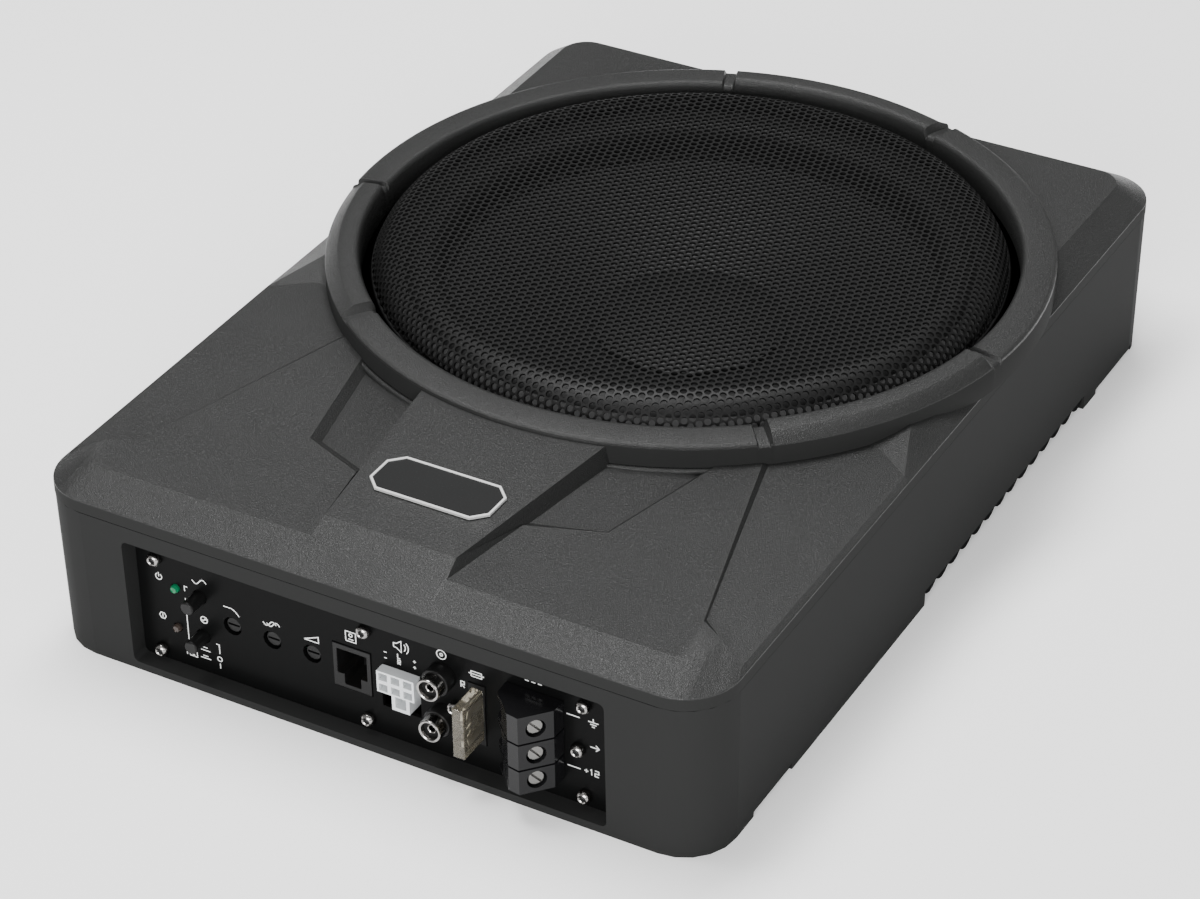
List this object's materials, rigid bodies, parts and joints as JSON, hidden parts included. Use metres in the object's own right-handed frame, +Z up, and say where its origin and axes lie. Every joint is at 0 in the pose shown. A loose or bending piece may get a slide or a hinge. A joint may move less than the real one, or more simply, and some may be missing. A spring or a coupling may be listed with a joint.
{
  "type": "powered car subwoofer",
  "caption": "Flat powered under-seat subwoofer: faceted box, round perforated grille over a slim driver, and a recessed front panel of inputs, trimmers, fuse and terminals.",
  "frame": {"origin": "centre of the enclosure's flat underside, which rests on the car floor", "axes": "+X to the right seen from the connection panel, +Y away from the panel towards the driver end, +Z up through the grille"},
  "size_m": [0.2568, 0.3601, 0.077],
  "materials": {
    "powder_coat": "fine textured powder coat",
    "case_paint": "smooth satin paint",
    "black_aluminium": "black anodised",
    "panel_gloss": "gloss black with white printing",
    "grille_steel": "satin black perforated sheet",
    "bright_steel": "nickel plated",
    "basket_steel": "satin black",
    "black_nylon": "moulded nylon",
    "white_nylon": "moulded nylon",
    "smoked_resin": "smoked translucent",
    "green_lamp": "clear tinted",
    "clear_lamp": "clear",
    "board": "glass-epoxy laminate",
    "copper": "enamelled copper winding",
    "ferrite": "sintered ferrite",
    "zinc": "zinc plated",
    "pulp": "pressed paper pulp",
    "rubber": "moulded foam rubber",
    "spider_cloth": "resin treated cotton"
  },
  "bodies": {
    "enclosure": {"case_body": "case_paint", "heatsink_base": "black_aluminium", "top_cover": "powder_coat", "grille_ring": "powder_coat", "grille": "grille_steel", "badge_plate": "bright_steel", "control_panel": "panel_gloss", "power_lamp": "green_lamp", "protect_lamp": "clear_lamp", "phase_switch": "black_nylon", "auto_remote_switch": "black_nylon", "low_pass_pot": "black_nylon", "phase_shift_pot": "black_nylon", "input_level_pot": "black_nylon", "remote_jack": "black_nylon", "highlevel_socket": "white_nylon", "rca_block": "black_nylon", "right_input_barrel": "bright_steel", "left_input_barrel": "bright_steel", "fuse_holder": "black_nylon", "terminal_block": "black_nylon", "amplifier_board": "board", "supply_capacitor_1": "black_aluminium", "supply_capacitor_2": "black_aluminium", "power_choke": "copper", "transistor_clamp": "black_aluminium", "basket": "basket_steel", "top_plate": "zinc", "magnet": "ferrite", "yoke": "zinc", "surround": "rubber", "spider": "spider_cloth", "panel_screw_1": "bright_steel", "panel_screw_2": "bright_steel", "panel_screw_3": "bright_steel", "panel_screw_4": "bright_steel", "panel_screw_5": "bright_steel", "panel_screw_6": "bright_steel", "panel_screw_7": "bright_steel", "panel_screw_8": "bright_steel", "base_screw_1": "zinc", "base_screw_2": "zinc", "base_screw_3": "zinc", "base_screw_4": "zinc"},
    "moving_assembly": {"cone": "pulp", "dust_cap": "pulp", "voice_coil": "copper"},
    "phase_plunger": {"phase_button": "black_nylon"},
    "auto_remote_plunger": {"auto_remote_button": "black_nylon"},
    "low_pass_trimmer": {"low_pass_shaft": "black_nylon"},
    "phase_shift_trimmer": {"phase_shift_shaft": "black_nylon"},
    "input_level_trimmer": {"input_level_shaft": "black_nylon"},
    "fuse_link": {"fuse": "smoked_resin"},
    "supply_clamp_screw": {"supply_screw": "bright_steel"},
    "remote_clamp_screw": {"remote_screw": "bright_steel"},
    "ground_clamp_screw": {"ground_screw": "bright_steel"}
  },
  "joints": [
    {"name": "cone_travel", "type": "slide", "parent": "enclosure", "child": "moving_assembly", "axis": [0, 0, 1], "range_m": [-0.006, 0.006], "stiffness_N_per_m": 2200, "deforming": ["surround", "spider"]},
    {"name": "phase_push", "type": "slide", "parent": "enclosure", "child": "phase_plunger", "axis": [0, 1, 0], "range_m": [0, 0.0025], "stiffness_N_per_m": 300},
    {"name": "auto_remote_push", "type": "slide", "parent": "enclosure", "child": "auto_remote_plunger", "axis": [0, 1, 0], "range_m": [0, 0.0025], "stiffness_N_per_m": 300},
    {"name": "low_pass_turn", "type": "hinge", "parent": "enclosure", "child": "low_pass_trimmer", "pos_m": [-0.0534, -0.1692, 0.026], "axis": [0, -1, 0], "range_deg": [-140, 140]},
    {"name": "phase_shift_turn", "type": "hinge", "parent": "enclosure", "child": "phase_shift_trimmer", "pos_m": [-0.038, -0.1692, 0.026], "axis": [0, -1, 0], "range_deg": [-140, 140]},
    {"name": "input_level_turn", "type": "hinge", "parent": "enclosure", "child": "input_level_trimmer", "pos_m": [-0.0228, -0.1692, 0.026], "axis": [0, -1, 0], "range_deg": [-140, 140]},
    {"name": "fuse_pull", "type": "slide", "parent": "enclosure", "child": "fuse_link", "axis": [0, -1, 0], "range_m": [0, 0.02]},
    {"name": "supply_screw_turn", "type": "hinge", "parent": "enclosure", "child": "supply_clamp_screw", "pos_m": [0.066, -0.17955, 0.01665], "axis": [0.745, -0.667, 0], "range_deg": [-360, 360]},
    {"name": "remote_screw_turn", "type": "hinge", "parent": "enclosure", "child": "remote_clamp_screw", "pos_m": [0.066, -0.17955, 0.02635], "axis": [0.745, -0.667, 0], "range_deg": [-360, 360]},
    {"name": "ground_screw_turn", "type": "hinge", "parent": "enclosure", "child": "ground_clamp_screw", "pos_m": [0.066, -0.17955, 0.0367], "axis": [0.745, -0.667, 0], "range_deg": [-360, 360]}
  ]
}
